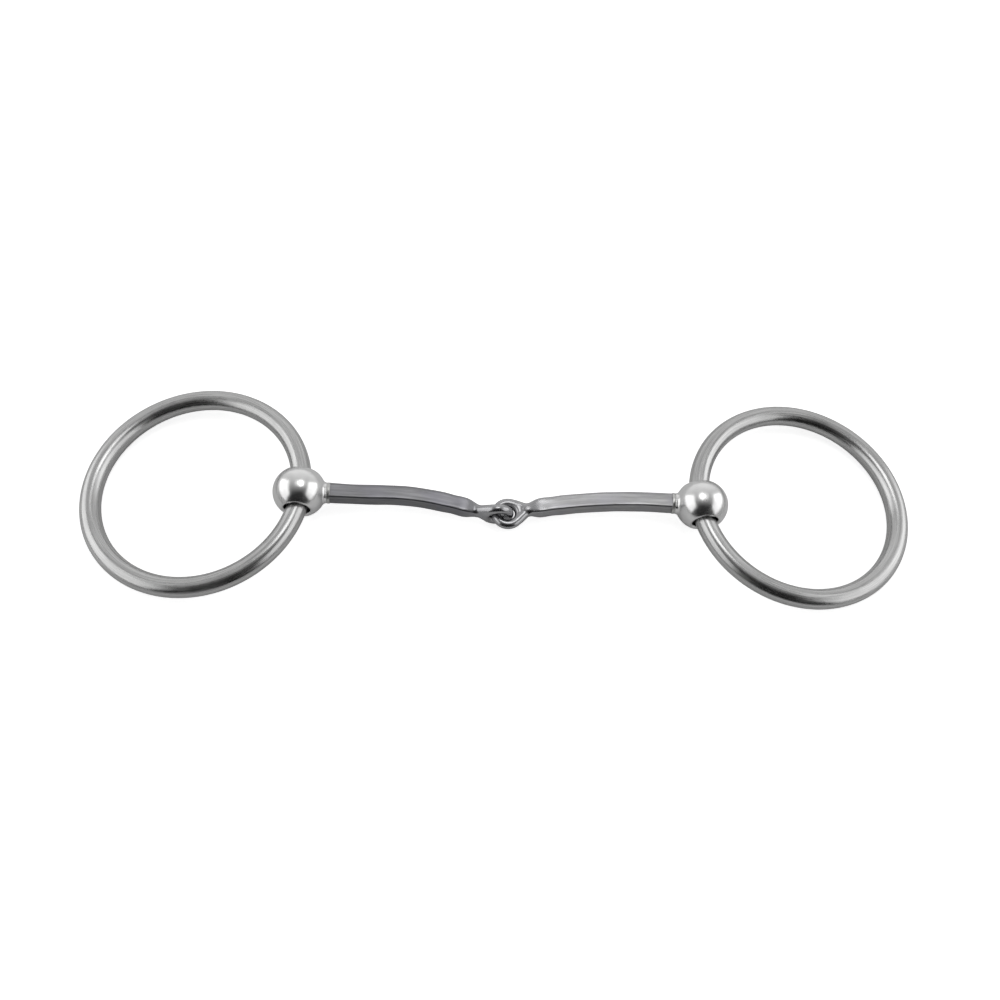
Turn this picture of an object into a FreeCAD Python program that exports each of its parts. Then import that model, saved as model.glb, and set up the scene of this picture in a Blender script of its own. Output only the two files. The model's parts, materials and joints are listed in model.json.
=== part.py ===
import FreeCAD, Part
import math
import os

# Loose-ring snaffle bit with ball ends and a two-piece square mouthpiece, laid out on a table.
# Millimetres, +Z up, +X from the left ring to the right ring, +Y to the convex side of the mouth.
# The table is z = 0 and the origin is the middle of the whole bit's footprint.

V = FreeCAD.Vector
UP = V(0, 0, 1)

# Driving dimensions: rings
RING_OUTER = 76.2           # outside diameter of a ring (3 in)
RING_WIRE = 6.7             # diameter of the ring's round wire
RING_INSET = 0.65           # the wire runs this far to the mouth side of the ball's centre
LEFT_RING_YAW = 1.5         # degrees that the left ring leans to the convex side
RIGHT_RING_YAW = 5.3        # degrees that the right ring leans to the convex side

# Driving dimensions: ball ends
BALL = 16.8                 # diameter of a ball
BALL_SPACING = 134.2        # from ball centre to ball centre
BALL_EGG = 0.65             # how much the ball is drawn out towards the mouth
CONE_SLOPE = 45.0           # degrees of the ball's conical neck
NECK_HOLLOW = 1.0           # radius of the hollow between the cone and the neck's end
BORE_PLAY = 0.9             # radial play of the ring's wire in the ball's cross bore
MOUTH_ROUND = 0.8           # rounding of the cross bore's mouths
TENON = 5.2                 # diameter of the bar's tenon inside the ball
SOCKET_WALL = 1.2           # metal left between the cross bore and the tenon's socket

# Driving dimensions: weld bead round the bar at the ball's neck
WELD_WIDTH = 1.0            # along the bar
WELD_LEDGE = 0.15           # bead's foot stands this far outside the bar's corners
WELD_CROWN = 0.3            # how far the bead bulges

# Driving dimensions: cannons
BAR = 5.3                   # side of the square bar
BAR_EDGE = 0.7              # rounding of the bar's long edges
JOINT_SET = 4.3             # the joint's pin line lies this far to the hollow side of the ball centres
JOINT_OFFSET = 2.45         # the joint's pin line lies this far to the right of the middle of the mouth
JOINT_PUSH = 0.5            # how far the halves are pushed together, as a share of the eyes' free play
JOINT_SLIP = 0.28           # how far the right eye lies to the convex side, as a share of it
NECK = 3.9                  # thickness where the bar is drawn down before the eye
NECK_EDGE = 0.42            # rounding of the neck's edges, as a share of its thickness
NECK_RUN = 5.5              # length over which the bar is drawn down
EYE_HOLE = 4.6              # hole of each eye
EYE_WIRE = 3.2              # thickness of the round metal of each eye
EYE_ROOT = 0.85             # size of the bar's end inside the eye's metal, as a share of EYE_WIRE
EYE_CLEAR = 0.4             # the neck is fully drawn down this far before the eye's outside
EYE_LIFT = 0.5              # how far the right eye is held off the left eye's hole, as a share of it
LEFT_EYE_YAW = 3.0          # degrees, direction of the left cannon's end, seen from above
RIGHT_EYE_YAW = -170.0      # degrees, direction of the right cannon's end, seen from above

# Set of each cannon: share of its length from the ball, and sideways offset from the straight line
LEFT_BOW = [(0.32, 1.65), (0.52, 2.9), (0.72, 2.3), (0.87, 0.75)]
RIGHT_BOW = [(0.32, 2.3), (0.53, 2.85), (0.73, 2.4), (0.89, 1.2)]
DROOP = 1.25                # power of the fall from ball height to eye height

# How the solids are made
STRAIGHT_SPANS = 8          # loft spans along the square bar
NECK_SPANS = 4              # loft spans along the drawn-down neck
ROOT_SPANS = 2              # loft spans from the neck to the eye's metal
CUT_PAST = 1.0              # a cutting tool runs this far past the metal
TENON_LAP = 0.5             # the tenon reaches this far into the bar that it is one piece with
EDGE_SAMPLES = (0.1, 0.37, 0.71)
TOUCH = 0.01                # two places nearer than this are one place

# Worked out from the driving dimensions
WIRE_R = RING_WIRE / 2
RING_R = (RING_OUTER - RING_WIRE) / 2
BALL_R = BALL / 2
BORE_R = WIRE_R + BORE_PLAY
EYE_WIRE_R = EYE_WIRE / 2
EYE_R = EYE_HOLE / 2 + EYE_WIRE_R
EYE_FREE = (EYE_HOLE - EYE_WIRE) / 2
NECK_STOP = EYE_R + EYE_WIRE_R + EYE_CLEAR

BORE_HALF = math.sqrt(BALL_R ** 2 - BORE_R ** 2)
WIRE_RISE = BORE_HALF ** 2 / (2 * RING_R)
BORE_INSET = RING_INSET - WIRE_RISE / 2

# A ring rests on the table at its far side and in the ball's bore at its near side
RING_TILT = math.asin((BALL_R - WIRE_R) / (2 * RING_R - RING_INSET))

BAR_CORNER = (BAR / 2 - BAR_EDGE) * math.sqrt(2) + BAR_EDGE
COLLAR_R = BAR_CORNER + WELD_LEDGE
SOCKET_FLOOR = BORE_INSET + BORE_R + SOCKET_WALL

LEFT_EYE_Z = EYE_R + EYE_WIRE_R
RIGHT_EYE_Z = LEFT_EYE_Z - EYE_FREE * (1 - EYE_LIFT)


def heading(degrees):
    """Level unit vector at an angle from +X."""
    angle = math.radians(degrees)
    return V(math.cos(angle), math.sin(angle), 0)


def neck_reach():
    """Distance from the ball's centre to the end of its conical neck."""
    slope = math.radians(CONE_SLOPE)
    cone = BALL_R + BALL_EGG * math.sin(slope)
    return (cone + NECK_HOLLOW - math.cos(slope) * (COLLAR_R + NECK_HOLLOW)) / math.sin(slope)


def placed(shape, origin, along):
    """Turn a shape made about the +X axis so that +X points along a direction, and move it."""
    side = UP.cross(along).normalize()
    top = along.cross(side)
    turn = FreeCAD.Rotation(along, side, top, "XZY")
    return shape.transformed(FreeCAD.Placement(origin, turn).toMatrix())


def smooth(share):
    """Ease from 0 to 1."""
    share = min(max(share, 0.0), 1.0)
    return share * share * (3 - 2 * share)


class Side:
    """One half of the bit: where its ball, ring, bar and eye are."""

    def __init__(self, ball, outward, eye, eye_heading, bow):
        self.ball = ball
        self.outward = outward
        self.eye = eye
        self.eye_heading = eye_heading
        self.bow = bow
        self.bore_axis = UP.cross(outward)
        self.bore_centre = ball - outward * BORE_INSET
        fall = -UP * math.sin(RING_TILT)
        self.ring_way = outward * math.cos(RING_TILT) + fall
        self.ring_centre = ball + self.ring_way * (RING_R - RING_INSET)
        self.plot_bar()

    def plot_bar(self):
        """Centreline of the bar, from the end of the ball's neck to the middle of the eye."""
        level = V(self.eye.x - self.ball.x, self.eye.y - self.ball.y, 0)
        across = level.cross(UP).normalize()
        if across.y < 0:
            across = -across
        points = []
        for share, offset in self.bow:
            height = self.eye.z + (self.ball.z - self.eye.z) * (1 - share) ** DROOP
            point = self.ball + level * share + across * offset
            points.append(V(point.x, point.y, height))
        self.bar_way = (points[0] - self.ball).normalize()
        self.shoulder = self.ball + self.bar_way * neck_reach()
        self.line = Part.BSplineCurve()
        self.line.interpolate(
            Points=[self.shoulder] + points + [self.eye],
            InitialTangent=self.bar_way,
            FinalTangent=self.eye_heading,
        )
        self.length = self.line.length()

    def station(self, distance):
        """Point, direction, sideways and upward vectors at a distance from the shoulder."""
        at = self.line.parameterAtDistance(distance, self.line.FirstParameter)
        point = self.line.value(at)
        along = self.line.tangent(at)[0]
        across = UP.cross(along).normalize()
        return point, across, along.cross(across)


def make_ring(side):
    """Round wire ring, butt welded and ground flush."""
    return Part.makeTorus(RING_R, WIRE_R, side.ring_centre, side.ring_way.cross(side.bore_axis))


def ball_profile():
    """Closed outline of half a ball end, in the XY plane, revolved about X."""
    slope = math.radians(CONE_SLOPE)
    normal = V(math.sin(slope), math.cos(slope), 0)
    bulge = V(BALL_EGG, 0, 0)
    tip = V(-BALL_R, 0, 0)
    back = V(-BALL_R * math.sqrt(0.5), BALL_R * math.sqrt(0.5), 0)
    crown = V(0, BALL_R, 0)
    fore_crown = crown + bulge
    half_turn = math.radians(90 - CONE_SLOPE / 2)
    fore = bulge + V(math.cos(half_turn), math.sin(half_turn), 0) * BALL_R
    cone_start = bulge + normal * BALL_R
    hollow = V(neck_reach(), COLLAR_R + NECK_HOLLOW, 0)
    cone_end = hollow - normal * NECK_HOLLOW
    quarter = slope / 2
    hollow_mid = hollow - V(math.sin(quarter), math.cos(quarter), 0) * NECK_HOLLOW
    neck_end = V(neck_reach(), COLLAR_R, 0)
    neck_axis = V(neck_reach(), 0, 0)
    edges = [
        Part.Arc(tip, back, crown).toShape(),
        Part.LineSegment(crown, fore_crown).toShape(),
        Part.Arc(fore_crown, fore, cone_start).toShape(),
        Part.LineSegment(cone_start, cone_end).toShape(),
        Part.Arc(cone_end, hollow_mid, neck_end).toShape(),
        Part.LineSegment(neck_end, neck_axis).toShape(),
        Part.LineSegment(neck_axis, tip).toShape(),
    ]
    return Part.Face(Part.Wire(edges))


def make_ball(side):
    """Ball end: pear-shaped ball, cross bore for the ring and blind socket for the bar's tenon."""
    blank = ball_profile().revolve(V(0, 0, 0), V(1, 0, 0), 360)
    ball = placed(blank, side.ball, side.bar_way)
    reach = BALL_R + CUT_PAST
    start = side.bore_centre - side.bore_axis * reach
    ball = ball.cut(Part.makeCylinder(BORE_R, 2 * reach, start, side.bore_axis))
    mouths = [edge for edge in ball.Edges if is_mouth(edge, side)]
    ball = ball.makeFillet(MOUTH_ROUND, mouths)
    floor = side.ball + side.bar_way * SOCKET_FLOOR
    depth = neck_reach() - SOCKET_FLOOR
    return ball.cut(Part.makeCylinder(TENON / 2, depth + CUT_PAST, floor, side.bar_way))


def is_mouth(edge, side):
    """True for an edge that lies on the cross bore's wall near one of its mouths."""
    first, last = edge.ParameterRange
    for share in EDGE_SAMPLES:
        offset = edge.valueAt(first + (last - first) * share) - side.bore_centre
        along = offset.dot(side.bore_axis)
        radial = (offset - side.bore_axis * along).Length
        if abs(radial - BORE_R) > TOUCH or abs(along) < BORE_HALF / 2:
            return False
    return True


def rounded_square(point, across, top, size, edge_r):
    """Square wire with rounded corners, about a point."""
    half = size / 2
    flat = half - edge_r
    bend = flat + edge_r * math.sqrt(0.5)
    edges = []
    for one, two in ((across, top), (top, -across), (-across, -top), (-top, across)):
        begin = point + one * half + two * flat
        middle = point + one * bend + two * bend
        finish = point + one * flat + two * half
        onward = point - one * flat + two * half
        edges.append(Part.Arc(begin, middle, finish).toShape())
        edges.append(Part.LineSegment(finish, onward).toShape())
    return Part.Wire(edges)


def bar_section(side, distance):
    """Section of the bar at a distance from the shoulder: square bar, neck, then inside the eye."""
    point, across, top = side.station(distance)
    to_eye = side.length - distance
    drawn = smooth((to_eye - NECK_STOP) / NECK_RUN)
    size = NECK + (BAR - NECK) * drawn
    edge_r = NECK * NECK_EDGE + (BAR_EDGE - NECK * NECK_EDGE) * drawn
    if to_eye < NECK_STOP:
        shrink = smooth((NECK_STOP - to_eye) / (NECK_STOP - EYE_R))
        size = NECK + (EYE_WIRE * EYE_ROOT - NECK) * shrink
        edge_r = size * NECK_EDGE
    return rounded_square(point, across, top, size, edge_r)


def make_cannon(side, eye_axis):
    """Cannon: tenon, square bar, drawn-down neck and round eye, forged in one piece."""
    neck_end = side.length - NECK_STOP
    straight = neck_end - NECK_RUN
    stops = [0]
    for start, run, spans in (
        (0, straight, STRAIGHT_SPANS),
        (straight, NECK_RUN, NECK_SPANS),
        (neck_end, NECK_STOP - EYE_R, ROOT_SPANS),
    ):
        stops += [start + run * n / spans for n in range(1, spans + 1)]
    bar = Part.makeLoft([bar_section(side, stop) for stop in stops], True, False)
    floor = side.ball + side.bar_way * SOCKET_FLOOR
    depth = neck_reach() - SOCKET_FLOOR
    tenon = Part.makeCylinder(TENON / 2, depth + TENON_LAP, floor, side.bar_way)
    eye = Part.makeTorus(EYE_R, EYE_WIRE_R, side.eye, eye_axis)
    return bar.fuse([tenon, eye]).removeSplitter()


def make_weld(side, cannon):
    """Weld bead round the bar, against the end of the ball's neck."""
    start = neck_reach()
    foot = V(start, COLLAR_R, 0)
    crown = V(start + WELD_WIDTH / 2, COLLAR_R + WELD_CROWN, 0)
    toe = V(start + WELD_WIDTH, COLLAR_R, 0)
    edges = [
        Part.Arc(foot, crown, toe).toShape(),
        Part.LineSegment(toe, V(toe.x, 0, 0)).toShape(),
        Part.LineSegment(V(toe.x, 0, 0), V(start, 0, 0)).toShape(),
        Part.LineSegment(V(start, 0, 0), foot).toShape(),
    ]
    bead = Part.Face(Part.Wire(edges)).revolve(V(0, 0, 0), V(1, 0, 0), 360)
    return placed(bead, side.ball, side.bar_way).cut(cannon)


def build():
    """All pieces, by node name, in the bit's own frame; and the two sides that place them."""
    joint = V(BALL_SPACING / 2 + JOINT_OFFSET, -JOINT_SET, 0)
    left_heading = heading(LEFT_EYE_YAW)
    right_heading = heading(RIGHT_EYE_YAW)
    left = Side(
        V(0, 0, BALL_R),
        heading(180 - LEFT_RING_YAW),
        joint + UP * LEFT_EYE_Z - left_heading * EYE_R,
        left_heading,
        LEFT_BOW,
    )
    right = Side(
        V(BALL_SPACING, 0, BALL_R),
        heading(RIGHT_RING_YAW),
        joint + V(-JOINT_PUSH * EYE_FREE, JOINT_SLIP * EYE_FREE, RIGHT_EYE_Z),
        right_heading,
        RIGHT_BOW,
    )
    nodes = {}
    upright = UP.cross(left_heading)
    for name, side, eye_axis in (("left", left, upright), ("right", right, UP)):
        cannon = make_cannon(side, eye_axis)
        nodes[name + "_ring"] = make_ring(side)
        nodes[name + "_ball_end"] = make_ball(side)
        nodes[name + "_cannon"] = cannon
        nodes[name + "_neck_weld"] = make_weld(side, cannon)
    box = Part.makeCompound(list(nodes.values())).optimalBoundingBox()
    shift = V(-(box.XMin + box.XMax) / 2, -(box.YMin + box.YMax) / 2, -box.ZMin)
    for shape in nodes.values():
        shape.translate(shift)
    return nodes, left, right, joint, shift


def report(side, name, shift):
    """Print the cross bore's centre and axis, about which the ring swings, and the ring's centre."""
    centre = side.bore_centre + shift
    axis = side.bore_axis
    print(name, "bore centre %.4f %.4f %.4f" % (centre.x, centre.y, centre.z))
    print(name, "bore axis %.5f %.5f %.5f" % (axis.x, axis.y, axis.z))
    ring = side.ring_centre + shift
    print(name, "ring centre %.4f %.4f %.4f" % (ring.x, ring.y, ring.z))


nodes, left, right, joint, shift = build()
os.makedirs("parts", exist_ok=True)
for name, shape in nodes.items():
    shape.exportStep("parts/" + name + ".step")
    print(name, "solids", len(shape.Solids), "valid", shape.isValid(), "volume %.1f" % shape.Volume)
report(left, "left", shift)
report(right, "right", shift)
print("joint %.4f %.4f" % (joint.x + shift.x, joint.y + shift.y))
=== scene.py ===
"""Loose-ring snaffle bit: two round wire rings in polished ball ends, welded to a two-piece mouth."""

import json
import math

import bmesh
import bpy
import numpy as np
from mathutils import Matrix, Vector, noise


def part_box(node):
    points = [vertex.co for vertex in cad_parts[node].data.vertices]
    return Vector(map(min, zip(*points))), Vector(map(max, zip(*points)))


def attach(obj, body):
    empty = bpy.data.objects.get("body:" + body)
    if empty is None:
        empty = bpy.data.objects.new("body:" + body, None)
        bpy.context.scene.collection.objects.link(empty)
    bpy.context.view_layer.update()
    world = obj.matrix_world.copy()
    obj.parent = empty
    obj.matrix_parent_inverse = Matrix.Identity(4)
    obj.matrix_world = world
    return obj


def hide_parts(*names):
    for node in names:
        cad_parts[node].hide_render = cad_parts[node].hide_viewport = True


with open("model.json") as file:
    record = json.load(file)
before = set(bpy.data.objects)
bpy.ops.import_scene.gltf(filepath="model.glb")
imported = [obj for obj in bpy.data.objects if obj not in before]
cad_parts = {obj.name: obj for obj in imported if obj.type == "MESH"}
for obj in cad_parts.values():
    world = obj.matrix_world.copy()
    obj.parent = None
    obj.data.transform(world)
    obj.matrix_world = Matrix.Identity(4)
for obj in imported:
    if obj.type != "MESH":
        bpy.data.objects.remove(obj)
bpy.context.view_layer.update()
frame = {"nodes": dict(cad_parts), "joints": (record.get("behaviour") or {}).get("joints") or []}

bl_info = {
    "name": "Loose-ring snaffle bit",
    "version": (1, 0, 0),
    "blender": (4, 5, 0),
    "location": "3D View > Sidebar > Snaffle",
    "description": "Makes the rings, ball ends, mouthpiece and stage of a loose-ring snaffle bit",
    "category": "Object",
}

MM = 0.001
UP = Vector((0, 0, 1))
SIDES = ("left", "right")

# Ball end, in metres: the same shape as the turned ball that the mouth is welded to
EGG = 0.65 * MM                 # the ball is drawn out this far towards the mouth
NECK_HOLLOW = 1.7 * MM          # radius of the hollow between the ball and the neck's end
NECK_DRESSED = 0.2 * MM         # the neck's end and the weld are dressed down to the bar by this much
BORE_INSET = 0.272 * MM         # the cross bore lies this far to the mouth side of the ball's centre

# Eyes, in millimetres: the same round eyes as the CAD bars have
EYE_R = 3.9                             # middle line of the eye's wire
LEFT_EYE_Z = 5.5                        # the left eye stands upright, its far side on the joint
RIGHT_EYE = Vector((-0.35, 0.196, 5.15))    # middle of the right eye, which lies flat, from the joint
EYE_YAW = {"left": math.radians(3), "right": math.radians(-170)}

# Limbs that join a neck to its eye, in millimetres
LIMB_WRAP = math.radians(100)   # how far round the eye a limb runs, from the eye's side at the neck
LIMB_LEAVE = 2.4                # a limb runs on this far in the neck's own direction
LIMB_PART = 0.45                # and moves this far aside meanwhile
LIMB_ARRIVE = 3.2               # it lies along the eye's wire for this far before its end
NECK_SPAN = 1.3                 # the neck's direction is read over this far each way
NECK_SLICE = 0.9                # half the length of neck that its middle is read from

# Waves in the hand-ground faces: lumps in a metre
WAVES_ALONG = 130
WAVES_ACROSS = 420

# Weld beads
BEAD_WANDER = 0.05              # how far round the bar the ripples stray from even places, in radians
BEAD_INSIDE = 0.9               # the bead's inner wall, as a share of the bar's corner radius

# Stage, in metres
FLOOR_REACH = 3.0
TOP_DISC_PLACE = (0.019, 0.123, 0.554)
TOP_DISC_SIZE = (0.24, 0.31)
SOFTBOX_PLACE = (0.95, -0.2, 0.7)
SOFTBOX_SIZE = (1.6, 1.15)
SENSOR_WIDTH = 36               # millimetres

# Greys of the room, from its front (0) to its back (1)
ROOM_GREYS = ((0.0, 0.01), (0.24, 0.015), (0.37, 0.2), (0.52, 0.38), (0.84, 0.75), (1.0, 1.0))
BACKDROP_GREY = 0.9

# Fineness of the meshes
RING_STEPS = 720
WIRE_STEPS = 64
BALL_TURNS = 360
BALL_ARCS = 150
BACK_STEPS = 60
SHOULDER_STEPS = 30
HOLLOW_STEPS = 20
FACE_STEPS = 20
MOUTH_STEPS = 12
WALL_STEPS = 8
LIMB_ROWS = 25
LIMB_TURNS = 24
BEAD_STEPS = 288
BEAD_ARCS = 16
HALVINGS = 50
END_SLICE = 0.01 * MM           # points this near to a piece's end count as its end


# ---------------------------------------------------------------- places, read from the frame

def cloud(node):
    """The corners of a CAD node's mesh, one row each."""
    mesh = frame["nodes"][node].data
    flat = np.empty(len(mesh.vertices) * 3)
    mesh.vertices.foreach_get("co", flat)
    return flat.reshape(-1, 3)


def hinge(name):
    """Place and direction of a joint."""
    joint = next(j for j in frame["joints"] if j["name"] == name)
    return Vector(joint["pos_m"]), Vector(joint["axis"]).normalized()


def middle(node):
    """Middle of a CAD node's box."""
    low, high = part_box(node)
    return (low + high) / 2


class Side:
    """Where one side's ring, ball end, weld and bar are."""

    def __init__(self, side):
        self.bore, self.bore_axis = hinge(side + "_ring_swing")
        self.ring_centre = middle(side + "_ring")
        outward = UP.cross(self.bore_axis)
        if outward.dot(self.ring_centre - self.bore) < 0:
            outward = -outward
        self.outward = outward.normalized()
        self.ball = self.bore + self.outward * BORE_INSET
        self.way = (middle(side + "_neck_weld") - self.ball).normalized()

    def along_and_off(self, node):
        """Each corner's distance along the neck from the ball's centre, and off the neck's axis."""
        arms = cloud(node) - np.array(self.ball)
        along = arms @ np.array(self.way)
        off = np.linalg.norm(arms - along[:, None] * np.array(self.way), axis=1)
        return along, off


PLACES = {side: Side(side) for side in SIDES}


def ring_sizes(side):
    """Middle radius and wire radius of a ring."""
    reach = np.linalg.norm(cloud(side + "_ring") - np.array(PLACES[side].ring_centre), axis=1)
    return (reach.max() + reach.min()) / 2, (reach.max() - reach.min()) / 2


RING_R, WIRE_R = ring_sizes("left")


# ---------------------------------------------------------------- meshes

def closed_sheet(name, points):
    """Object with quads through a grid of points that closes both ways, its faces turned outwards."""
    rows, columns = points.shape[:2]
    row, column = np.meshgrid(np.arange(rows), np.arange(columns), indexing="ij")
    next_row = (row + 1) % rows
    next_column = (column + 1) % columns
    corners = [(row, column), (next_row, column), (next_row, next_column), (row, next_column)]
    faces = np.stack([r * columns + c for r, c in corners], axis=-1).reshape(-1, 4)
    flat = points.reshape(-1, 3)
    a, b, c = (flat[faces[:, n]] for n in range(3))
    if np.einsum("ij,ij->i", a, np.cross(b, c)).sum() < 0:
        faces = faces[:, ::-1]
    mesh = bpy.data.meshes.new(name)
    mesh.from_pydata(flat.tolist(), [], faces.tolist())
    return new_object(name, mesh)


def last_that(passes, low, high):
    """Largest number between two that still passes a test, found by halving."""
    for _ in range(HALVINGS):
        half = (low + high) / 2
        if passes(half):
            low = half
        else:
            high = half
    return low


def new_object(name, mesh):
    """Link a smooth-shaded mesh to the scene as an object."""
    mesh.polygons.foreach_set("use_smooth", [True] * len(mesh.polygons))
    made = bpy.data.objects.new(name, mesh)
    bpy.context.scene.collection.objects.link(made)
    return made


def write_grain(made, values):
    """Keep, in millimetres, where each point lies in the metal's own grain: two across, one along."""
    grain = made.data.attributes.new("grain", "FLOAT_VECTOR", "POINT")
    grain.data.foreach_set("vector", (np.asarray(values, np.float32) / MM).ravel())


def settle(made, side, body, node, material):
    """Give a piece its material and its body, and hide the CAD node that it stands for."""
    made.data.materials.clear()
    made.data.materials.append(material)
    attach(made, body)
    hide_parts(side + "_" + node)


# ---------------------------------------------------------------- materials

class Steel:
    """A metal surface made of nodes, with small helpers for joining them."""

    def __init__(self, name, colour, roughness):
        self.material = bpy.data.materials.new(name)
        self.material.use_nodes = True
        self.tree = self.material.node_tree
        self.shader = self.tree.nodes["Principled BSDF"]
        self.shader.inputs["Metallic"].default_value = 1.0
        self.shader.inputs["Base Color"].default_value = (*colour, 1)
        self.shader.inputs["Roughness"].default_value = roughness

    def node(self, kind, **settings):
        """Add a node and set what it does."""
        made = self.tree.nodes.new(kind)
        for name, value in settings.items():
            setattr(made, name, value)
        return made

    def link(self, start, end):
        """Join one node's output to another's input."""
        self.tree.links.new(start, end)

    def grain(self, across, along):
        """The grain's coordinates, with so many cycles in a millimetre across it and along it."""
        source = self.node("ShaderNodeAttribute", attribute_name="grain")
        scale = self.node("ShaderNodeVectorMath", operation="MULTIPLY")
        scale.inputs[1].default_value = (across, across, along)
        self.link(source.outputs["Vector"], scale.inputs[0])
        return scale.outputs["Vector"]

    def scaled(self, vector, share):
        """A vector made longer or shorter."""
        made = self.node("ShaderNodeVectorMath", operation="SCALE")
        made.inputs["Scale"].default_value = share
        self.link(vector, made.inputs[0])
        return made.outputs["Vector"]

    def noise(self, vector, detail, rough):
        """Soft noise between 0 and 1, one lump for each unit of the vector."""
        made = self.node("ShaderNodeTexNoise")
        made.inputs["Scale"].default_value = 1.0
        made.inputs["Detail"].default_value = detail
        made.inputs["Roughness"].default_value = rough
        self.link(vector, made.inputs["Vector"])
        return made.outputs["Fac"]

    def ramp(self, value, low, high, start=0.0, end=1.0):
        """Map low to high onto start to end."""
        made = self.node("ShaderNodeMapRange")
        for name, number in (("From Min", low), ("From Max", high), ("To Min", start), ("To Max", end)):
            made.inputs[name].default_value = number
        self.link(value, made.inputs["Value"])
        return made.outputs["Result"]

    def mix_colour(self, share, one, two):
        """Mix two colours, each a colour or a socket."""
        made = self.node("ShaderNodeMix", data_type="RGBA")
        self.link(share, made.inputs[0])
        for socket, colour in ((made.inputs[6], one), (made.inputs[7], two)):
            if isinstance(colour, bpy.types.NodeSocket):
                self.link(colour, socket)
            else:
                socket.default_value = (*colour, 1)
        return made.outputs[2]

    def bump(self, height, distance, under=None):
        """Normals of a surface that rises by the distance where the height is 1."""
        made = self.node("ShaderNodeBump")
        made.inputs["Distance"].default_value = distance
        made.inputs["Strength"].default_value = 1.0
        self.link(height, made.inputs["Height"])
        if under is not None:
            self.link(under, made.inputs["Normal"])
        return made.outputs["Normal"]

    def set(self, socket, value):
        """Feed one of the surface's own inputs."""
        self.link(value, self.shader.inputs[socket])


def shade(colour, share):
    """A darker or lighter copy of a colour."""
    return tuple(min(channel * share, 1.0) for channel in colour)


def satin_steel(settings):
    """Ring wire: stainless steel with brush lines that run along the wire."""
    steel = Steel("satin_ring_steel", settings.colour, settings.roughness)
    fine = steel.noise(steel.grain(across=1.9, along=0.05), detail=4, rough=0.7)
    broad = steel.noise(steel.grain(across=0.7, along=0.015), detail=2, rough=0.5)
    cloudy = steel.noise(steel.grain(across=0.16, along=0.12), detail=3, rough=0.6)
    tone = steel.mix_colour(
        steel.ramp(fine, 0.3, 0.7),
        shade(settings.colour, 0.7),
        shade(settings.colour, 1.24),
    )
    dull = steel.ramp(broad, 0.35, 0.8, 0, 0.6)
    steel.set("Base Color", steel.mix_colour(dull, tone, shade(settings.colour, 0.6)))
    streaky = steel.ramp(fine, 0.25, 0.75, settings.roughness * 0.75, settings.roughness * 1.3)
    rough = steel.node("ShaderNodeMath", operation="MULTIPLY")
    steel.link(streaky, rough.inputs[0])
    steel.link(steel.ramp(cloudy, 0.3, 0.7, 0.85, 1.2), rough.inputs[1])
    steel.set("Roughness", rough.outputs[0])
    lines = steel.bump(fine, settings.brush_depth)
    steel.set("Normal", steel.bump(broad, settings.brush_depth * 4, under=lines))
    return steel.material


def mirror_steel(settings):
    """Ball ends: mirror-polished stainless steel with faint wipe marks and hair scratches."""
    steel = Steel("polished_ball_steel", settings.colour, settings.roughness)
    place = steel.scaled(steel.node("ShaderNodeTexCoord").outputs["Object"], 1 / MM)
    smears = steel.noise(steel.scaled(place, 0.35), detail=2, rough=0.5)
    hairs = steel.node("ShaderNodeMapping")
    hairs.inputs["Rotation"].default_value = (0.4, 0.9, 0.3)
    hairs.inputs["Scale"].default_value = (14, 0.6, 9)
    steel.link(place, hairs.inputs["Vector"])
    hair = steel.noise(hairs.outputs["Vector"], detail=2, rough=0.5)
    steel.set("Base Color", steel.mix_colour(
        steel.ramp(smears, 0.35, 0.7),
        shade(settings.colour, 1.03),
        shade(settings.colour, 0.95),
    ))
    rough = steel.ramp(smears, 0.3, 0.75, settings.roughness * 0.85, settings.roughness * 1.2)
    steel.set("Roughness", rough)
    steel.set("Normal", steel.bump(hair, settings.scratch_depth))
    return steel.material


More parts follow.
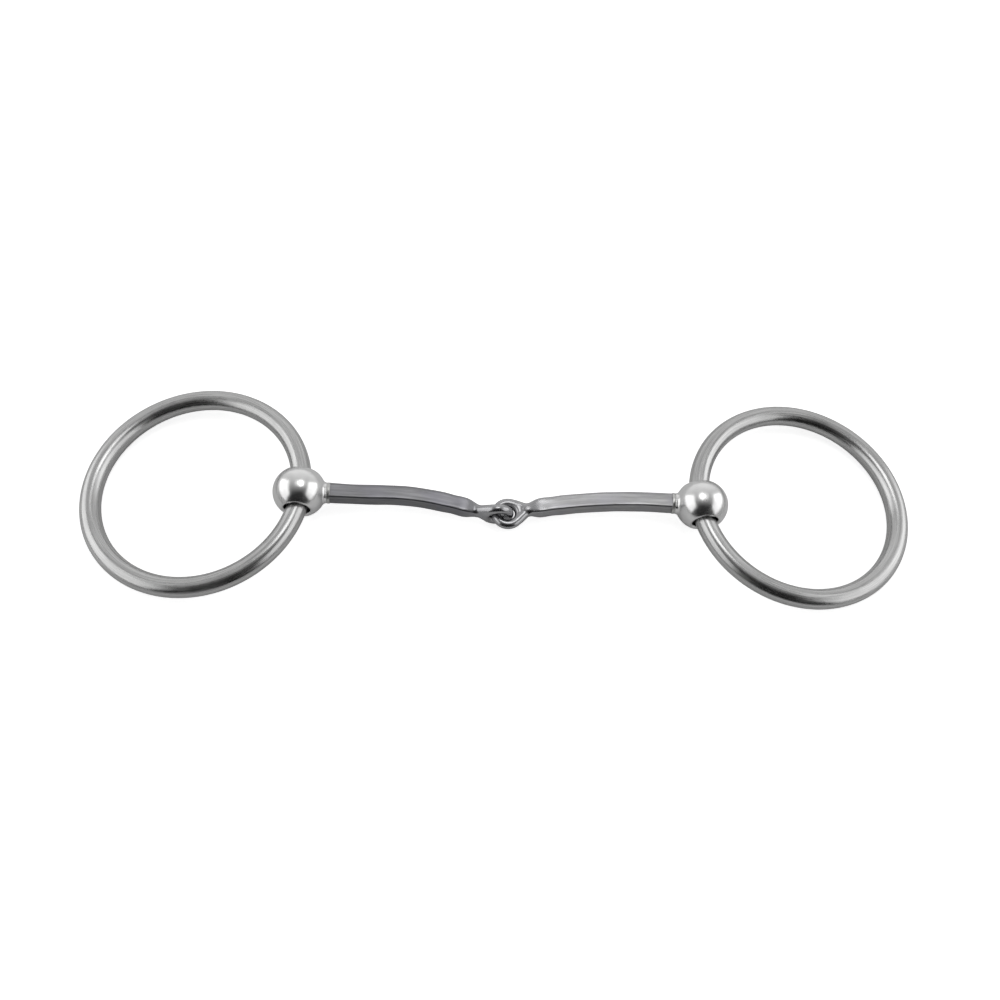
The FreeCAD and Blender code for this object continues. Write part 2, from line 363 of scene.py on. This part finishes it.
def ground_steel(name, colour, settings):
    """Mouth: mild steel, ground lengthwise, rubbed bright by the joint, with a faint blue cast."""
    steel = Steel(name, colour, settings.roughness)
    fine = steel.noise(steel.grain(across=4.5, along=0.22), detail=3, rough=0.7)
    streaks = steel.noise(steel.grain(across=1.1, along=0.05), detail=3, rough=0.6)
    patches = steel.noise(steel.grain(across=0.22, along=0.1), detail=3, rough=0.55)
    ground = steel.mix_colour(steel.ramp(fine, 0.3, 0.72), shade(colour, 0.8), shade(colour, 1.16))
    rubbed = steel.mix_colour(steel.ramp(streaks, 0.45, 0.75, 0, 0.75), ground, shade(colour, 1.45))
    tinted = tuple(channel * share for channel, share in zip(colour, (1.0, 0.99, 1.06)))
    bare = steel.mix_colour(steel.ramp(patches, 0.42, 0.68, 0, 0.8), rubbed, tinted)
    split = steel.node("ShaderNodeSeparateXYZ")
    steel.link(steel.grain(across=1, along=1), split.inputs[0])
    from_joint = steel.node("ShaderNodeMath", operation="SUBTRACT")
    from_joint.inputs[1].default_value = hinge("mouth_fold")[0].x / MM
    steel.link(split.outputs["Z"], from_joint.inputs[0])
    away = steel.node("ShaderNodeMath", operation="ABSOLUTE")
    steel.link(from_joint.outputs[0], away.inputs[0])
    worn = steel.ramp(away.outputs[0], settings.rub_end / MM, settings.rub_start / MM)
    polished = steel.mix_colour(
        steel.ramp(fine, 0.3, 0.72),
        shade(settings.worn_colour, 0.88),
        shade(settings.worn_colour, 1.12),
    )
    steel.set("Base Color", steel.mix_colour(worn, bare, polished))
    rough = steel.node("ShaderNodeMix", data_type="FLOAT")
    steel.link(worn, rough.inputs[0])
    streaky = steel.ramp(streaks, 0.3, 0.75, settings.roughness * 1.15, settings.roughness * 0.8)
    steel.link(streaky, rough.inputs[2])
    rough.inputs[3].default_value = settings.worn_roughness
    steel.set("Roughness", rough.outputs[0])
    lines = steel.bump(fine, settings.scratch_depth)
    steel.set("Normal", steel.bump(patches, settings.scratch_depth * 6, under=lines))
    return steel.material


def dressed_steel(settings):
    """Weld beads: filed and half polished."""
    steel = Steel("dressed_weld_steel", settings.colour, settings.roughness)
    file_marks = steel.noise(steel.grain(across=3.0, along=0.8), detail=3, rough=0.6)
    steel.set("Base Color", steel.mix_colour(
        steel.ramp(file_marks, 0.3, 0.7),
        shade(settings.colour, 0.85),
        shade(settings.colour, 1.1),
    ))
    rough = steel.ramp(file_marks, 0.3, 0.7, settings.roughness * 0.8, settings.roughness * 1.3)
    steel.set("Roughness", rough)
    steel.set("Normal", steel.bump(file_marks, settings.ripple / 4))
    return steel.material


# ---------------------------------------------------------------- rings

class RingSettings(bpy.types.PropertyGroup):
    wire: bpy.props.FloatProperty(
        name="Wire", description="Diameter of the ring's round wire",
        default=2 * WIRE_R, min=0.002, max=0.012, unit="LENGTH", precision=4,
    )
    colour: bpy.props.FloatVectorProperty(
        name="Colour", description="Colour of the satin steel",
        default=(0.53, 0.53, 0.528), min=0, max=1, size=3, subtype="COLOR",
    )
    roughness: bpy.props.FloatProperty(
        name="Roughness", description="How soft the wire's reflections are",
        default=0.27, min=0.05, max=1, subtype="FACTOR",
    )
    brush_depth: bpy.props.FloatProperty(
        name="Brush depth", description="Depth of the brush lines along the wire",
        default=0.006 * MM, min=0, max=0.0001, unit="LENGTH", precision=6,
    )


class BIT_OT_make_rings(bpy.types.Operator):
    """Make the two loose rings of round wire"""

    bl_idname = "bit.make_rings"
    bl_label = "Rings"

    def execute(self, context):
        settings = context.scene.bit_rings
        material = satin_steel(settings)
        for side in SIDES:
            self.make_ring(side, settings.wire / 2, material)
        return {"FINISHED"}

    def make_ring(self, side, wire_r, material):
        place = PLACES[side]
        low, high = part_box(side + "_ring")
        tilt = math.asin(((high.z - low.z) / 2 - WIRE_R) / RING_R)
        inward = np.array(-(place.outward * math.cos(tilt) - UP * math.sin(tilt)))
        level = np.array(place.bore_axis)
        face = np.cross(inward, level)
        turn = np.linspace(0, 2 * math.pi, RING_STEPS, endpoint=False)[:, None, None]
        roll = np.linspace(0, 2 * math.pi, WIRE_STEPS, endpoint=False)[None, :, None]
        spoke = np.cos(turn) * inward + np.sin(turn) * level
        points = np.array(place.ring_centre) + spoke * (RING_R + wire_r * np.cos(roll))
        points = points + face * (wire_r * np.sin(roll))
        made = closed_sheet(side + "_wire_ring", points)
        around = np.broadcast_to(roll, (RING_STEPS, WIRE_STEPS, 1))
        along = np.broadcast_to(turn, (RING_STEPS, WIRE_STEPS, 1))
        grain = [wire_r * np.cos(around), wire_r * np.sin(around), RING_R * along]
        write_grain(made, np.concatenate(grain, axis=-1))
        settle(made, side, side + "_loose_ring", "ring", material)


# ---------------------------------------------------------------- ball ends

class BallSettings(bpy.types.PropertyGroup):
    bore: bpy.props.FloatProperty(
        name="Bore", description="Diameter of the cross bore that the ring runs in",
        default=8.5 * MM, min=0.007, max=0.011, unit="LENGTH", precision=4,
    )
    mouth_round: bpy.props.FloatProperty(
        name="Mouth rounding", description="Rounding of the bore's two mouths",
        default=0.8 * MM, min=0.0002, max=0.0015, unit="LENGTH", precision=4,
    )
    colour: bpy.props.FloatVectorProperty(
        name="Colour", description="Colour of the polished steel",
        default=(0.72, 0.72, 0.718), min=0, max=1, size=3, subtype="COLOR",
    )
    roughness: bpy.props.FloatProperty(
        name="Roughness", description="How soft the mirror polish is",
        default=0.24, min=0.0, max=1, subtype="FACTOR",
    )
    scratch_depth: bpy.props.FloatProperty(
        name="Scratch depth", description="Depth of the hair scratches in the polish",
        default=0.0002 * MM, min=0, max=0.00005, unit="LENGTH", precision=7,
    )


class BIT_OT_make_ball_ends(bpy.types.Operator):
    """Make the two ball ends, each with its cross bore and conical neck"""

    bl_idname = "bit.make_ball_ends"
    bl_label = "Ball ends"

    def execute(self, context):
        settings = context.scene.bit_balls
        material = mirror_steel(settings)
        for side in SIDES:
            self.make_ball(side, settings, material)
        return {"FINISHED"}

    def make_ball(self, side, settings, material):
        place = PLACES[side]
        ball_r, reach, collar_r = self.neck_sizes(side)
        outline = self.pear_outline(ball_r, reach, collar_r)
        bore_r = settings.bore / 2
        lip = settings.mouth_round
        level = np.array(place.bore_axis)
        first = np.array(place.way - place.bore_axis * place.way.dot(place.bore_axis))
        first = first / np.linalg.norm(first)
        second = np.cross(level, first)
        rows = []
        for turn in np.linspace(0, 2 * math.pi, BALL_TURNS, endpoint=False):
            spoke = math.cos(turn) * first + math.sin(turn) * second
            rows.append(self.section(place, spoke, level, ball_r, bore_r, lip, outline))
        made = closed_sheet(side + "_ball", np.array(rows))
        settle(made, side, side + "_half", "ball_end", material)

    def neck_sizes(self, side):
        """Ball radius, neck length and radius of the neck's end, from the CAD ball."""
        along, off = PLACES[side].along_and_off(side + "_ball_end")
        reach = along.max()
        return -along.min(), reach, off[along > reach - END_SLICE].max() - NECK_DRESSED

    def pear_outline(self, ball_r, reach, collar_r):
        """Angles off the neck's axis, and the surface's distance from the ball's centre at each."""
        slope = self.slope_of_neck(ball_r, reach, collar_r)
        bends = np.linspace(math.pi, math.pi / 2, BACK_STEPS)
        points = [(ball_r * math.cos(b), ball_r * math.sin(b)) for b in bends]
        bends = np.linspace(math.pi / 2, math.pi / 2 - slope, SHOULDER_STEPS)
        points += [(EGG + ball_r * math.cos(b), ball_r * math.sin(b)) for b in bends]
        hollow = np.array([reach, collar_r + NECK_HOLLOW])
        for b in np.linspace(0, slope, HOLLOW_STEPS)[::-1]:
            points.append(tuple(hollow - NECK_HOLLOW * np.array([math.sin(b), math.cos(b)])))
        points = np.vstack([points[:-1], np.linspace(points[-1], (reach, 0), FACE_STEPS)])
        angle = np.arctan2(points[:, 1], points[:, 0])
        length = np.linalg.norm(points, axis=1)
        order = np.argsort(angle)
        return angle[order], length[order]

    def slope_of_neck(self, ball_r, reach, collar_r):
        """Slope at which a line just touches both the ball and the hollow of its neck."""
        along = reach - EGG
        off = collar_r + NECK_HOLLOW

        def overlaps(slope):
            return along * math.sin(slope) + off * math.cos(slope) < ball_r + NECK_HOLLOW

        return last_that(overlaps, 0.0, math.atan2(along, off))

    def section(self, place, spoke, level, ball_r, bore_r, lip, outline):
        """One closed loop: over the ball's outside, round a mouth, back through the bore."""
        centre = np.array(place.ball)
        bore = np.array(place.bore)
        way = np.array(place.way)
        lips = []
        for sign in (-1, 1):
            core = self.lip_core(centre, way, bore + spoke * (bore_r + lip), level * sign, ball_r - lip)
            nearest = self.spine_point(core, centre, way)
            outer = (core - nearest) / np.linalg.norm(core - nearest)
            lips.append((core, outer, nearest + outer * ball_r))
        outside = self.arc_between(lips[0][2] - centre, lips[1][2] - centre, BALL_ARCS)
        angles = np.arccos(np.clip(outside @ way, -1, 1))
        reach = np.interp(angles, *outline)
        loop = [centre + outside * reach[:, None]]
        core, outer, _ = lips[1]
        loop.append(core + lip * self.arc_between(outer, -spoke, MOUTH_STEPS)[1:])
        wall = np.linspace(0, 1, WALL_STEPS)[1:-1, None]
        start, end = (lips[n][0] - spoke * lip for n in (1, 0))
        loop.append(start + (end - start) * wall)
        core, outer, _ = lips[0]
        loop.append(core + lip * self.arc_between(-spoke, outer, MOUTH_STEPS)[:-1])
        return np.vstack(loop)

    def spine_point(self, point, centre, way):
        """Nearest place to a point on the short line that the ball is drawn out along."""
        share = min(max(float((point - centre) @ way), 0), EGG)
        return centre + way * share

    def lip_core(self, centre, way, foot, direction, reach):
        """Middle of the rounding at a mouth: the place along a line at that distance from the spine."""
        def inside(share):
            point = foot + direction * share
            return np.linalg.norm(point - self.spine_point(point, centre, way)) < reach

        return foot + direction * last_that(inside, 0.0, 2 * reach)

    def arc_between(self, one, two, steps):
        """Unit vectors that turn evenly from one direction to another."""
        one = one / np.linalg.norm(one)
        two = two / np.linalg.norm(two)
        angle = math.acos(max(-1, min(1, float(one @ two))))
        share = np.linspace(0, 1, steps)[:, None]
        return (np.sin((1 - share) * angle) * one + np.sin(share * angle) * two) / math.sin(angle)


# ---------------------------------------------------------------- mouth

class MouthSettings(bpy.types.PropertyGroup):
    limb: bpy.props.FloatProperty(
        name="Limb length", description="How far before the middle of an eye its limbs part",
        default=8.0 * MM, min=0.005, max=0.012, unit="LENGTH", precision=4,
    )
    limb_start: bpy.props.FloatProperty(
        name="Limb root", description="Radius of a limb where it leaves the neck",
        default=1.8 * MM, min=0.001, max=0.0025, unit="LENGTH", precision=4,
    )
    limb_end: bpy.props.FloatProperty(
        name="Limb end", description="Radius of a limb where it runs into the eye",
        default=1.5 * MM, min=0.001, max=0.0016, unit="LENGTH", precision=4,
    )
    crotch: bpy.props.FloatProperty(
        name="Crotch fillet", description="Rounding where an eye runs into its neck",
        default=1.8 * MM, min=0.0002, max=0.0022, unit="LENGTH", precision=4,
    )
    grain_size: bpy.props.FloatProperty(
        name="Mesh size", description="Size of the mesh's faces",
        default=0.15 * MM, min=0.0001, max=0.0005, unit="LENGTH", precision=5,
    )
    waviness: bpy.props.FloatProperty(
        name="Waviness", description="How uneven the hand-ground faces are",
        default=0.05 * MM, min=0, max=0.0003, unit="LENGTH", precision=5,
    )
    # Painted shade: both bars are one steel, and the left bar's colour is a darker copy of it, as if it
    # stood in less light
    left_shaded_colour: bpy.props.FloatVectorProperty(
        name="Left colour", description="Colour of the left bar, the darker one",
        default=(0.2, 0.2, 0.207), min=0, max=1, size=3, subtype="COLOR",
    )
    right_colour: bpy.props.FloatVectorProperty(
        name="Right colour", description="Colour of the right bar",
        default=(0.33, 0.33, 0.333), min=0, max=1, size=3, subtype="COLOR",
    )
    roughness: bpy.props.FloatProperty(
        name="Roughness", description="How soft the reflections of the ground steel are",
        default=0.34, min=0.05, max=1, subtype="FACTOR",
    )
    worn_colour: bpy.props.FloatVectorProperty(
        name="Worn colour", description="Colour of the steel that the eyes have rubbed bright",
        default=(0.37, 0.37, 0.38), min=0, max=1, size=3, subtype="COLOR",
    )
    worn_roughness: bpy.props.FloatProperty(
        name="Worn roughness", description="How soft the reflections of the rubbed steel are",
        default=0.24, min=0.05, max=1, subtype="FACTOR",
    )
    rub_start: bpy.props.FloatProperty(
        name="Fully rubbed", description="Steel nearer to the joint than this is rubbed fully bright",
        default=8 * MM, min=0, max=0.05, unit="LENGTH", precision=4,
    )
    rub_end: bpy.props.FloatProperty(
        name="Rubbing ends", description="Steel further from the joint than this isn't rubbed",
        default=17 * MM, min=0, max=0.06, unit="LENGTH", precision=4,
    )
    scratch_depth: bpy.props.FloatProperty(
        name="Scratch depth", description="Depth of the lengthwise grinding scratches",
        default=0.006 * MM, min=0, max=0.0001, unit="LENGTH", precision=6,
    )


class BIT_OT_make_mouth(bpy.types.Operator):
    """Make the two cannons, forged bars that end in linked eyes"""

    bl_idname = "bit.make_mouth"
    bl_label = "Mouth"

    def execute(self, context):
        settings = context.scene.bit_mouth
        # the left bar gets the darker copy of the same steel: painted shade over the whole bar
        for side, colour in (("left", settings.left_shaded_colour), ("right", settings.right_colour)):
            made = self.forge(side, settings)
            self.hand_grind(made, settings.waviness)
            write_grain(made, self.grain_of(made))
            material = ground_steel(side + "_ground_steel", colour, settings)
            settle(made, side, side + "_half", "cannon", material)
        return {"FINISHED"}

    def forge(self, side, settings):
        """Copy of the CAD bar with an even mesh, softened edges and filled crotches."""
        mesh = frame["nodes"][side + "_cannon"].data.copy()
        mesh.transform(Matrix.Scale(1 / MM, 4))
        rough = bpy.data.objects.new("rough_" + side, mesh)
        bpy.context.scene.collection.objects.link(rough)
        for way in (1, -1):
            self.add_limb(mesh, side, way, settings)
        crotch = settings.crotch / MM
        size = settings.grain_size / MM
        self.remesh(rough, size)
        for way in (1, 1, -1, -1):
            self.swell(rough, way * crotch / 2)
            self.remesh(rough, size)
            self.soften(rough, 2)
        self.soften(rough, 3)
        ready = rough.evaluated_get(bpy.context.evaluated_depsgraph_get())
        forged = bpy.data.meshes.new_from_object(ready)
        forged.transform(Matrix.Scale(MM, 4))
        bpy.data.objects.remove(rough)
        return new_object(side + "_bar", forged)

    def add_limb(self, mesh, side, way, settings):
        """Add a tapered limb that runs from the neck into one side of the eye."""
        joint = hinge("mouth_fold")[0] / MM
        joint.z = 0
        heading = Vector((math.cos(EYE_YAW[side]), math.sin(EYE_YAW[side]), 0))
        if side == "left":
            across = UP
            eye = joint - heading * EYE_R + UP * LEFT_EYE_Z
        else:
            across = UP.cross(heading)
            eye = joint + RIGHT_EYE
        reach = settings.limb / MM
        start = self.neck_middle(side, eye, reach)
        nearer = self.neck_middle(side, eye, reach - NECK_SPAN)
        further = self.neck_middle(side, eye, reach + NECK_SPAN)
        leave = (nearer - further).normalized()
        end = eye + (across * way * math.sin(LIMB_WRAP) - heading * math.cos(LIMB_WRAP)) * EYE_R
        arrive = heading * math.sin(LIMB_WRAP) + across * way * math.cos(LIMB_WRAP)
        parted = start + leave * LIMB_LEAVE + across * (way * LIMB_PART)
        knots = [start, parted, end - arrive * LIMB_ARRIVE, end]
        rings = []
        for share in np.linspace(0, 1, LIMB_ROWS):
            point, along = self.bezier(knots, share)
            one = along.cross(across.cross(heading)).normalized()
            two = along.cross(one)
            radius = settings.limb_start / MM * (1 - share) + settings.limb_end / MM * share
            for turn in np.linspace(0, 2 * math.pi, LIMB_TURNS, endpoint=False):
                rings.append(point + (one * math.cos(turn) + two * math.sin(turn)) * radius)
        faces = [tuple(range(LIMB_TURNS))[::-1], tuple(range(len(rings) - LIMB_TURNS, len(rings)))]
        for row in range(0, len(rings) - LIMB_TURNS, LIMB_TURNS):
            after = row + LIMB_TURNS
            for column in range(LIMB_TURNS):
                onward = (column + 1) % LIMB_TURNS
                faces.append((row + column, row + onward, after + onward, after + column))
        limb = bpy.data.meshes.new("limb")
        limb.from_pydata(rings, [], faces)
        joined = bmesh.new()
        joined.from_mesh(mesh)
        joined.from_mesh(limb)
        joined.to_mesh(mesh)
        joined.free()
        bpy.data.meshes.remove(limb)

    def neck_middle(self, side, eye, reach):
        """Middle of the CAD bar at a distance before the middle of its eye."""
        points = cloud(side + "_cannon") / MM
        away = np.linalg.norm(points - np.array(eye), axis=1)
        near = points[np.abs(away - reach) < NECK_SLICE]
        return Vector((near.min(axis=0) + near.max(axis=0)) / 2)

    def bezier(self, knots, share):
        """Point and direction on a curve with four control points."""
        a, b, c, d = knots
        rest = 1 - share
        point = a * rest ** 3 + b * 3 * rest ** 2 * share + c * 3 * rest * share ** 2 + d * share ** 3
        along = (b - a) * rest ** 2 + (c - b) * 2 * rest * share + (d - c) * share ** 2
        return point, along.normalized()

    def remesh(self, rough, size):
        """Cover the whole shape with one even skin."""
        made = rough.modifiers.new("even", "REMESH")
        made.mode = "VOXEL"
        made.voxel_size = size

    def swell(self, rough, distance):
        """Move the skin outwards, or inwards if the distance is negative."""
        made = rough.modifiers.new("swell", "DISPLACE")
        made.mid_level = 0
        made.strength = distance

    def soften(self, rough, times):
        """Even out the skin's small steps."""
        made = rough.modifiers.new("soften", "SMOOTH")
        made.factor = 0.5
        made.iterations = times

    def hand_grind(self, made, waviness):
        """Move the surface in and out a little, in long shallow waves."""
        mesh = made.data
        for vertex, normal in zip(mesh.vertices, mesh.vertex_normals):
            spot = vertex.co * Vector((WAVES_ALONG, WAVES_ACROSS, WAVES_ACROSS))
            vertex.co += normal.vector * (noise.noise(spot) * waviness)

    def grain_of(self, made):
        """Each point's place off the bar's middle line, and along it."""
        flat = np.empty(len(made.data.vertices) * 3)
        made.data.vertices.foreach_get("co", flat)
        points = flat.reshape(-1, 3)
        along = points[:, 0]
        share = (along - along.min()) / np.ptp(along) * 2 - 1
        off = [points[:, n] - np.polyval(np.polyfit(share, points[:, n], 5), share) for n in (1, 2)]
        return np.stack([off[0], off[1], along], axis=-1)


# ---------------------------------------------------------------- weld beads

class WeldSettings(bpy.types.PropertyGroup):
    crown: bpy.props.FloatProperty(
        name="Crown", description="How much of the weld's height is left after dressing",
        default=0.3, min=0, max=1, subtype="FACTOR",
    )
    ripples: bpy.props.IntProperty(
        name="Ripples", description="How many ripples the bead has round the bar",
        default=13, min=0, max=80,
    )
    ripple: bpy.props.FloatProperty(
        name="Ripple depth", description="Depth of the bead's ripples",
        default=0.02 * MM, min=0, max=0.0003, unit="LENGTH", precision=5,
    )
    colour: bpy.props.FloatVectorProperty(
        name="Colour", description="Colour of the weld metal",
        default=(0.55, 0.55, 0.54), min=0, max=1, size=3, subtype="COLOR",
    )
    roughness: bpy.props.FloatProperty(
        name="Roughness", description="How soft the bead's reflections are",
        default=0.34, min=0.05, max=1, subtype="FACTOR",
    )


class BIT_OT_make_welds(bpy.types.Operator):
    """Make the weld beads round the bars at the ball ends' necks"""

    bl_idname = "bit.make_welds"
    bl_label = "Weld beads"

    def execute(self, context):
        settings = context.scene.bit_welds
        material = dressed_steel(settings)
        for side in SIDES:
            self.make_bead(side, settings, material)
        return {"FINISHED"}

    def make_bead(self, side, settings, material):
        place = PLACES[side]
        along, off = place.along_and_off(side + "_neck_weld")
        half = np.ptp(along) / 2
        foot = off[along < along.min() + END_SLICE].max()
        crown = (off.max() - foot) * settings.crown
        foot = foot - NECK_DRESSED
        turn = np.linspace(0, 2 * math.pi, BEAD_STEPS, endpoint=False)[:, None]
        bend = np.linspace(0, math.pi, BEAD_ARCS)[None, :]
        wander = turn + BEAD_WANDER * np.sin(3 * turn)
        lap = settings.ripple * np.sin(bend) * np.cos(settings.ripples * wander)
        over = foot + crown * np.sin(bend) + lap
        length = np.broadcast_to(along.min() + half - half * np.cos(bend), over.shape)
        inner = np.full((BEAD_STEPS, 1), off.min() * BEAD_INSIDE)
        radius = np.hstack([over, inner, inner])
        length = np.hstack([length, length[:, -1:], length[:, :1]])
        way = np.array(place.way)
        first = np.cross(way, UP)
        first = first / np.linalg.norm(first)
        second = np.cross(way, first)
        spoke = np.cos(turn)[:, :, None] * first + np.sin(turn)[:, :, None] * second
        points = np.array(place.ball) + length[:, :, None] * way + radius[:, :, None] * spoke
        made = closed_sheet(side + "_weld_bead", points)
        write_grain(made, points - np.array(place.ball))
        settle(made, side, side + "_half", "neck_weld", material)


# ---------------------------------------------------------------- stage

class StageSettings(bpy.types.PropertyGroup):
    azimuth: bpy.props.FloatProperty(
        name="Azimuth", description="Direction that the camera stands in, from the front",
        default=math.radians(-4.81), subtype="ANGLE",
    )
    elevation: bpy.props.FloatProperty(
        name="Elevation", description="How far above level the camera stands",
        default=math.radians(63.21), subtype="ANGLE",
    )
    roll: bpy.props.FloatProperty(
        name="Roll", description="How far the camera is turned about its own line of sight",
        default=math.radians(6.18), subtype="ANGLE",
    )
    distance: bpy.props.FloatProperty(
        name="Distance", description="From the camera to the middle of the bit",
        default=0.3146, min=0.05, unit="LENGTH", precision=4,
    )
    aim: bpy.props.FloatVectorProperty(
        name="Aim", description="Point on the floor that the camera looks at",
        default=(-0.3 * MM, 1.55 * MM, 0), size=3, subtype="TRANSLATION", unit="LENGTH", precision=5,
    )
    lens: bpy.props.FloatProperty(
        name="Lens", description="Focal length of the lens, in millimetres on a 36 mm sensor",
        default=33.14, min=10, max=200,
    )
    floor_colour: bpy.props.FloatVectorProperty(
        name="Floor", description="Colour of the floor",
        default=(0.72, 0.72, 0.72), min=0, max=1, size=3, subtype="COLOR",
    )
    floor_glow: bpy.props.FloatProperty(
        name="Floor glow", description="How far the floor's own shadows are lifted towards white",
        default=0.74, min=0, max=5,
    )
    top_light: bpy.props.FloatProperty(
        name="Top light", description="Brightness of the round light overhead, in watts",
        default=0.4, min=0, max=100,
    )
    side_light: bpy.props.FloatProperty(
        name="Side lights", description="Brightness of each side softbox, in watts",
        default=6.8, min=0, max=400,
    )


class BIT_OT_make_stage(bpy.types.Operator):
    """Make the floor, the lights, the surroundings and the camera"""

    bl_idname = "bit.make_stage"
    bl_label = "Stage"

    def execute(self, context):
        settings = context.scene.bit_stage
        self.make_floor(settings)
        self.make_lights(settings)
        self.make_surroundings(context.scene)
        self.make_camera(context.scene, settings)
        context.scene.view_settings.view_transform = "Standard"
        return {"FINISHED"}

    def make_floor(self, settings):
        """A wide sheet of white paper under the bit."""
        mesh = bpy.data.meshes.new("floor")
        signs = ((-1, -1), (1, -1), (1, 1), (-1, 1))
        corners = [(x * FLOOR_REACH, y * FLOOR_REACH, 0) for x, y in signs]
        mesh.from_pydata(corners, [], [(0, 1, 2, 3)])
        floor = bpy.data.objects.new("floor", mesh)
        bpy.context.scene.collection.objects.link(floor)
        paper = bpy.data.materials.new("white_paper")
        paper.use_nodes = True
        shader = paper.node_tree.nodes["Principled BSDF"]
        shader.inputs["Base Color"].default_value = (*settings.floor_colour, 1)
        shader.inputs["Roughness"].default_value = 0.9
        shader.inputs["Specular IOR Level"].default_value = 0.1
        shader.inputs["Emission Color"].default_value = (1, 1, 1, 1)
        rays = paper.node_tree.nodes.new("ShaderNodeLightPath")
        glow = paper.node_tree.nodes.new("ShaderNodeMath")
        glow.operation = "MULTIPLY"
        glow.inputs[1].default_value = settings.floor_glow
        paper.node_tree.links.new(rays.outputs["Is Camera Ray"], glow.inputs[0])
        paper.node_tree.links.new(glow.outputs[0], shader.inputs["Emission Strength"])
        mesh.materials.append(paper)

    def make_lights(self, settings):
        """A round light overhead that shines down, and a softbox at each side that shines level."""
        x, y, z = TOP_DISC_PLACE
        self.area_light("top_disc", (x, y, z), (x, y, 0), TOP_DISC_SIZE, settings.top_light, "ELLIPSE")
        x, y, z = SOFTBOX_PLACE
        for name, spot in (("left_softbox", (-x, y, z)), ("right_softbox", (x, y, z))):
            self.area_light(name, spot, (0, y, z), SOFTBOX_SIZE, settings.side_light, "RECTANGLE")

    def area_light(self, name, place, aim, size, watts, shape):
        """A flat light that the camera itself doesn't see."""
        data = bpy.data.lights.new(name, "AREA")
        data.shape = shape
        data.size = size[0]
        data.size_y = size[1]
        data.energy = watts
        lamp = bpy.data.objects.new(name, data)
        bpy.context.scene.collection.objects.link(lamp)
        lamp.location = place
        lamp.rotation_euler = (Vector(aim) - Vector(place)).to_track_quat("-Z", "Y").to_euler()
        lamp.visible_camera = False

    def make_surroundings(self, scene):
        """What the steel mirrors: a pale wall at the back, fading overhead to a dark room in front."""
        world = bpy.data.worlds.new("studio")
        scene.world = world
        world.use_nodes = True
        tree = world.node_tree
        place = tree.nodes.new("ShaderNodeTexCoord")
        split = tree.nodes.new("ShaderNodeSeparateXYZ")
        spread = tree.nodes.new("ShaderNodeMapRange")
        spread.inputs["From Min"].default_value = -1
        ramp = tree.nodes.new("ShaderNodeValToRGB")
        while len(ramp.color_ramp.elements) < len(ROOM_GREYS):
            ramp.color_ramp.elements.new(0.5)
        for element, (position, grey) in zip(ramp.color_ramp.elements, ROOM_GREYS):
            element.position = position
            element.color = (grey, grey, grey, 1)
        tree.links.new(place.outputs["Generated"], split.inputs[0])
        tree.links.new(split.outputs["Y"], spread.inputs["Value"])
        tree.links.new(spread.outputs["Result"], ramp.inputs["Fac"])
        backdrop = tree.nodes.new("ShaderNodeMix")
        backdrop.data_type = "RGBA"
        backdrop.inputs[7].default_value = (BACKDROP_GREY, BACKDROP_GREY, BACKDROP_GREY, 1)
        rays = tree.nodes.new("ShaderNodeLightPath")
        tree.links.new(rays.outputs["Is Camera Ray"], backdrop.inputs[0])
        tree.links.new(ramp.outputs["Color"], backdrop.inputs[6])
        tree.links.new(backdrop.outputs[2], tree.nodes["Background"].inputs["Color"])

    def make_camera(self, scene, settings):
        """A camera at its place round the bit, turned about its own line of sight."""
        level = math.cos(settings.elevation)
        back = Vector((
            math.sin(settings.azimuth) * level,
            -math.cos(settings.azimuth) * level,
            math.sin(settings.elevation),
        ))
        right = UP.cross(back).normalized()
        top = back.cross(right)
        lean = Matrix.Rotation(settings.roll, 3, back)
        turned = Matrix((lean @ right, lean @ top, back)).transposed()
        data = bpy.data.cameras.new("camera")
        data.lens = settings.lens
        data.sensor_width = SENSOR_WIDTH
        data.clip_start = 0.01
        camera = bpy.data.objects.new("camera", data)
        scene.collection.objects.link(camera)
        place = Vector(settings.aim) + back * settings.distance
        camera.matrix_world = Matrix.Translation(place) @ turned.to_4x4()
        scene.camera = camera


# ---------------------------------------------------------------- panel and registration

GROUPS = (
    ("bit_rings", RingSettings, BIT_OT_make_rings),
    ("bit_balls", BallSettings, BIT_OT_make_ball_ends),
    ("bit_mouth", MouthSettings, BIT_OT_make_mouth),
    ("bit_welds", WeldSettings, BIT_OT_make_welds),
    ("bit_stage", StageSettings, BIT_OT_make_stage),
)


class BIT_PT_snaffle(bpy.types.Panel):
    """Lists the bit's pieces, with their sizes and colours"""

    bl_label = "Snaffle bit"
    bl_idname = "BIT_PT_snaffle"
    bl_space_type = "VIEW_3D"
    bl_region_type = "UI"
    bl_category = "Snaffle"

    def draw(self, context):
        for group, settings, operator in GROUPS:
            box = self.layout.box()
            box.operator(operator.bl_idname)
            for name in settings.__annotations__:
                box.prop(getattr(context.scene, group), name)


def register():
    for group, settings, operator in GROUPS:
        bpy.utils.register_class(settings)
        setattr(bpy.types.Scene, group, bpy.props.PointerProperty(type=settings))
        bpy.utils.register_class(operator)
    bpy.utils.register_class(BIT_PT_snaffle)


def unregister():
    bpy.utils.unregister_class(BIT_PT_snaffle)
    for group, settings, operator in reversed(GROUPS):
        bpy.utils.unregister_class(operator)
        delattr(bpy.types.Scene, group)
        bpy.utils.unregister_class(settings)


def main():
    register()
    bpy.ops.bit.make_rings()
    bpy.ops.bit.make_ball_ends()
    bpy.ops.bit.make_mouth()
    bpy.ops.bit.make_welds()
    bpy.ops.bit.make_stage()


if __name__ == "__main__":
    main()
